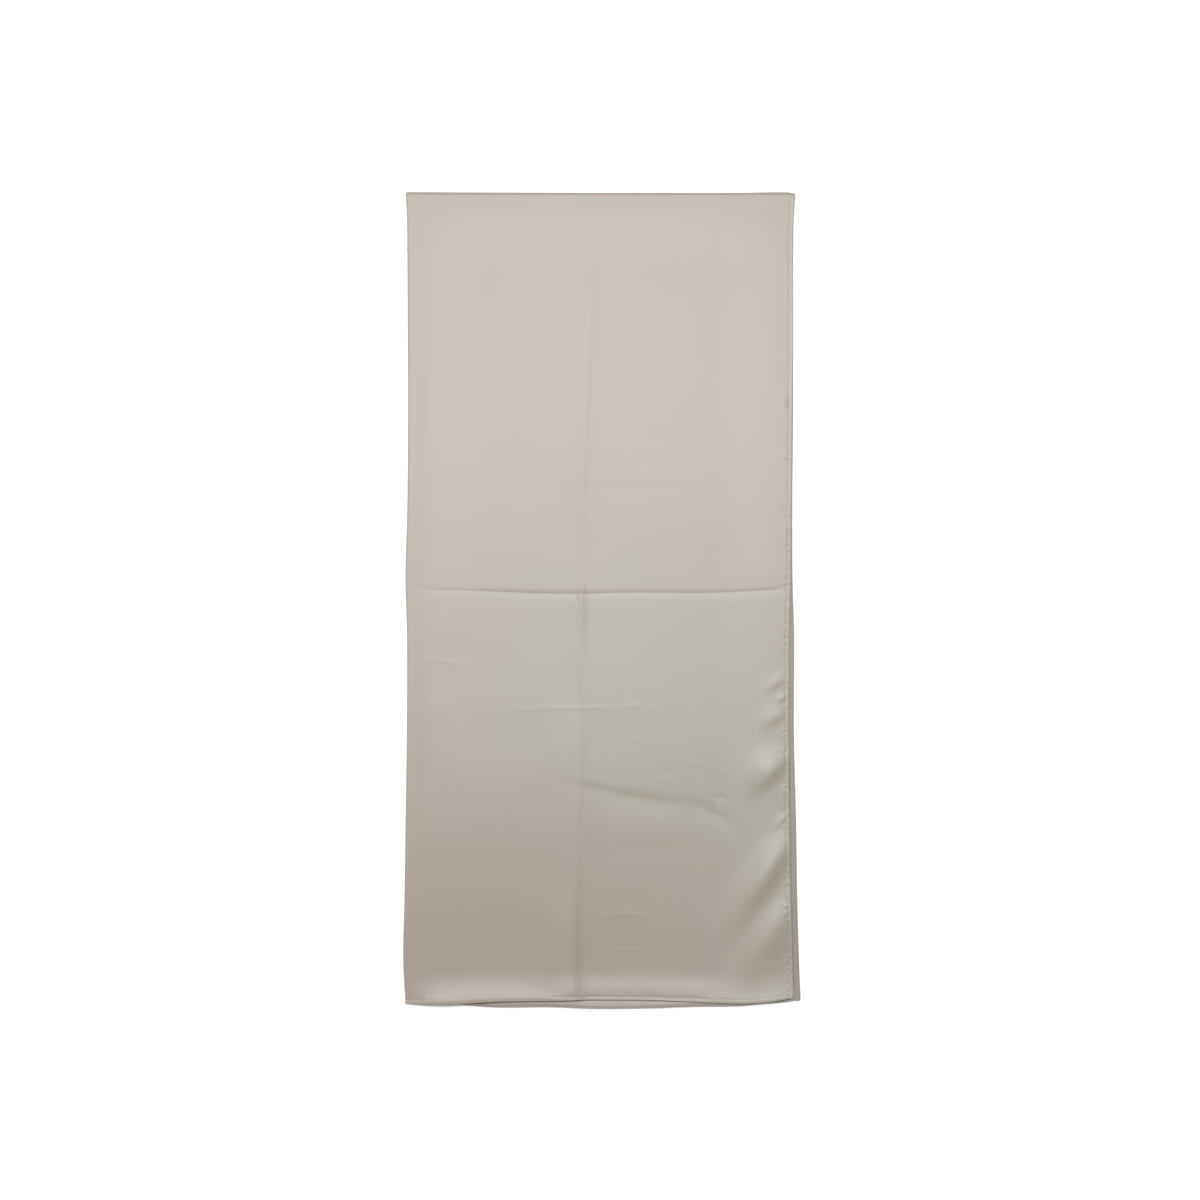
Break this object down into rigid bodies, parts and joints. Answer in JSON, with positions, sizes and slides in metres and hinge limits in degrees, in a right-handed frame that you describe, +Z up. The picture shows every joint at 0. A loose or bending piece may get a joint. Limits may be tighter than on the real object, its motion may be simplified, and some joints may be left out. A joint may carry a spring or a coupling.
{
  "type": "folded satin shawl",
  "caption": "Plain satin shawl folded in quarters and laid flat, with narrow stitched hems, pressed creases and soft folds beside one edge.",
  "frame": {"origin": "middle of the flat underside, on the surface that the shawl lies on", "axes": "+X towards the hemmed side, +Y towards the top fold, +Z up from the surface"},
  "size_m": [0.4407, 0.9061, 0.0104],
  "materials": {
    "satin": "smooth greige satin with a soft sheen",
    "hem": "the same satin, turned and stitched as a narrow hem"
  },
  "bodies": {
    "root": {"front_layer": "satin", "back_layer": "satin", "hidden_layers": "satin", "outer_side_hem": "hem", "inner_side_hem": "hem", "front_end_hem": "hem", "back_end_hem": "hem"}
  },
  "joints": []
}
